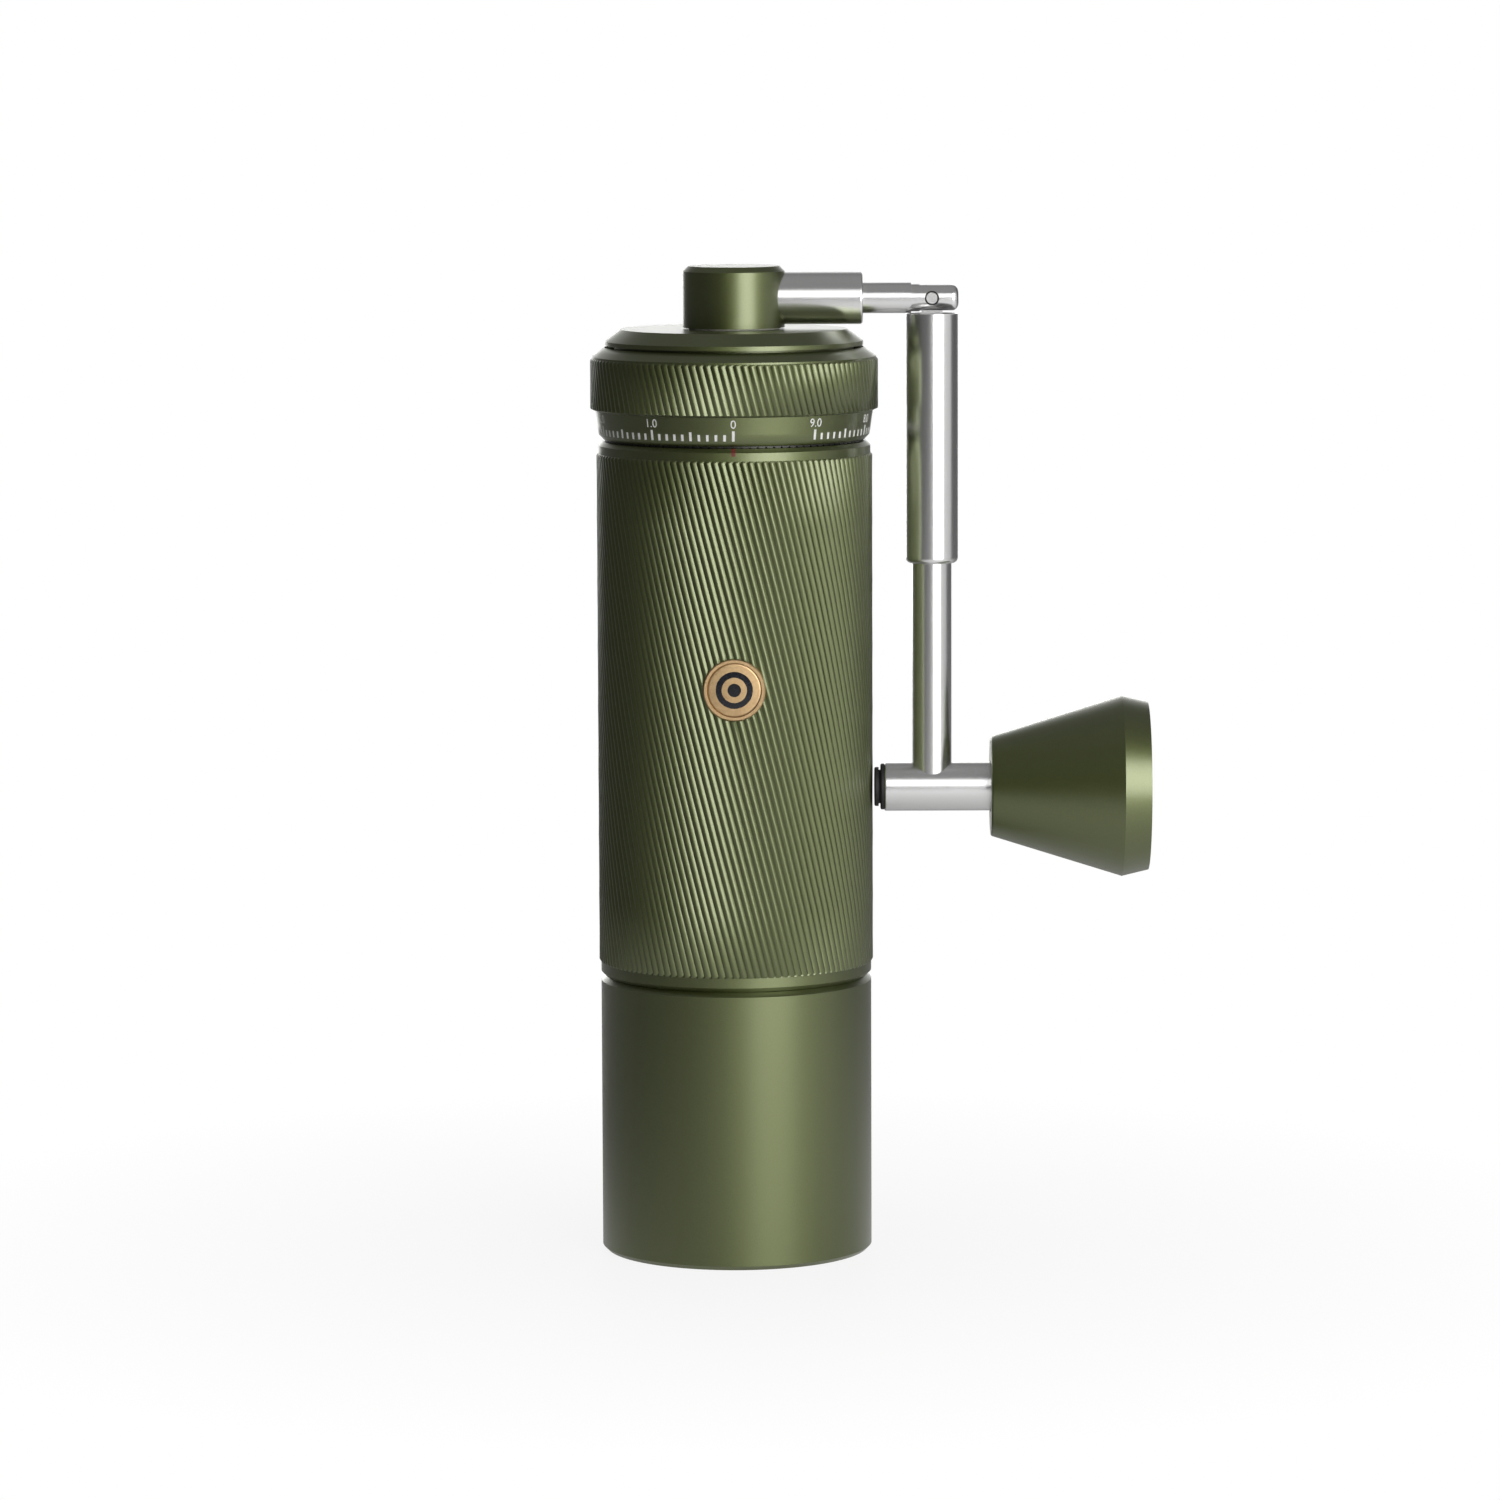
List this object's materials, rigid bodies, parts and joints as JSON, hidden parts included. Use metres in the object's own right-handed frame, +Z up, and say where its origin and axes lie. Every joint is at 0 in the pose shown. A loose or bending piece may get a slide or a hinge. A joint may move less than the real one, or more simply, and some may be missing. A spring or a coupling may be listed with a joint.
{
  "type": "hand coffee grinder",
  "caption": "Hand coffee grinder: fluted aluminium barrel, catch cup, numbered click dial, conical burrs on a steel shaft and a crank whose handle folds down and locks with a sliding sleeve.",
  "frame": {"origin": "centre of the catch cup's underside, on the surface the grinder stands on, on the barrel's axis", "axes": "+Z up along the barrel, +X towards the folded handle and its knob, -Y towards the front with the badge and the dial's zero"},
  "size_m": [0.1052, 0.0542, 0.1868],
  "materials": {
    "green_anodised": "bead-blasted, olive green anodised",
    "polished_steel": "turned and polished stainless steel",
    "burr_steel": "hardened ground steel",
    "machined_steel": "machined steel",
    "spring_steel": "spring steel",
    "bare_aluminium": "clear anodised aluminium",
    "black_rubber": "matt black rubber",
    "bronze": "satin bronze with dark enamel rings",
    "bearing_polymer": "acetal bearing plastic"
  },
  "bodies": {
    "cup": {"catch_cup": "green_anodised"},
    "barrel": {"barrel": "green_anodised", "cup_seal_ring": "black_rubber", "badge": "bronze", "lower_bridge": "bare_aluminium", "lower_bearing_outer": "machined_steel", "outer_burr": "burr_steel", "burr_lock_ring": "bare_aluminium", "dial_retaining_ring": "spring_steel", "click_plunger": "machined_steel", "click_ball": "machined_steel"},
    "lower_race": {"lower_bearing_inner": "machined_steel"},
    "dial": {"adjustment_dial": "green_anodised", "detent_ring": "machined_steel"},
    "carriage": {"lift_carriage": "bare_aluminium", "upper_bearing_outer": "machined_steel"},
    "shaft": {"main_shaft": "machined_steel", "upper_bearing_inner": "machined_steel", "shaft_circlip": "spring_steel", "inner_burr": "burr_steel", "burr_washer": "machined_steel", "burr_nut": "machined_steel", "burr_spring": "spring_steel"},
    "lid": {"lid": "green_anodised", "lid_bush": "bearing_polymer"},
    "crank": {"crank_hub": "green_anodised", "drive_socket": "machined_steel", "hub_circlip": "spring_steel", "arm_tube": "polished_steel", "hinge_rod": "polished_steel", "hinge_pin": "polished_steel"},
    "handle": {"link_rod": "polished_steel", "cross_tube": "polished_steel", "bumper": "black_rubber", "knob_axle": "machined_steel", "sleeve_spring": "spring_steel"},
    "sleeve": {"lock_sleeve": "polished_steel"},
    "knob": {"knob": "green_anodised", "knob_bushes": "bearing_polymer", "knob_end_cap": "green_anodised"}
  },
  "joints": [
    {"name": "body_lift", "type": "slide", "parent": "cup", "child": "barrel", "axis": [0, 0, 1], "range_m": [0, 0.03]},
    {"name": "dial_turn", "type": "hinge", "parent": "barrel", "child": "dial", "pos_m": [0, 0, 0.1625], "axis": [0, 0, 1], "range_deg": [0, 324]},
    {"name": "shaft_feed", "type": "slide", "parent": "barrel", "child": "carriage", "axis": [0, 0, 1], "range_m": [-0.00135, 0], "deforming": ["burr_spring"]},
    {"name": "lid_lift", "type": "slide", "parent": "barrel", "child": "lid", "axis": [0, 0, 1], "range_m": [0, 0.032]},
    {"name": "crank_turn", "type": "hinge", "parent": "lid", "child": "crank", "pos_m": [0, 0, 0.18], "axis": [0, 0, 1], "continuous": true},
    {"name": "shaft_spin", "type": "hinge", "parent": "carriage", "child": "shaft", "pos_m": [0, 0, 0.1], "axis": [0, 0, 1], "continuous": true},
    {"name": "lower_race_spin", "type": "hinge", "parent": "barrel", "child": "lower_race", "pos_m": [0, 0, 0.073], "axis": [0, 0, 1], "continuous": true},
    {"name": "handle_fold", "type": "hinge", "parent": "crank", "child": "handle", "pos_m": [0.0372, 0, 0.1807], "axis": [0, -1, 0], "range_deg": [0, 90]},
    {"name": "sleeve_pull", "type": "slide", "parent": "handle", "child": "sleeve", "axis": [0, 0, 1], "range_m": [-0.006, 0], "stiffness_N_per_m": 150, "springref_m": 0.02, "deforming": ["sleeve_spring"]},
    {"name": "knob_spin", "type": "hinge", "parent": "handle", "child": "knob", "pos_m": [0.06, 0, 0.0882], "axis": [1, 0, 0], "continuous": true}
  ],
  "couplings": [
    {"joint": "dial_turn", "follows": "shaft_feed", "rad_per_m": -4188.8},
    {"joint": "shaft_spin", "follows": "crank_turn", "ratio": 1},
    {"joint": "lower_race_spin", "follows": "crank_turn", "ratio": 1}
  ]
}
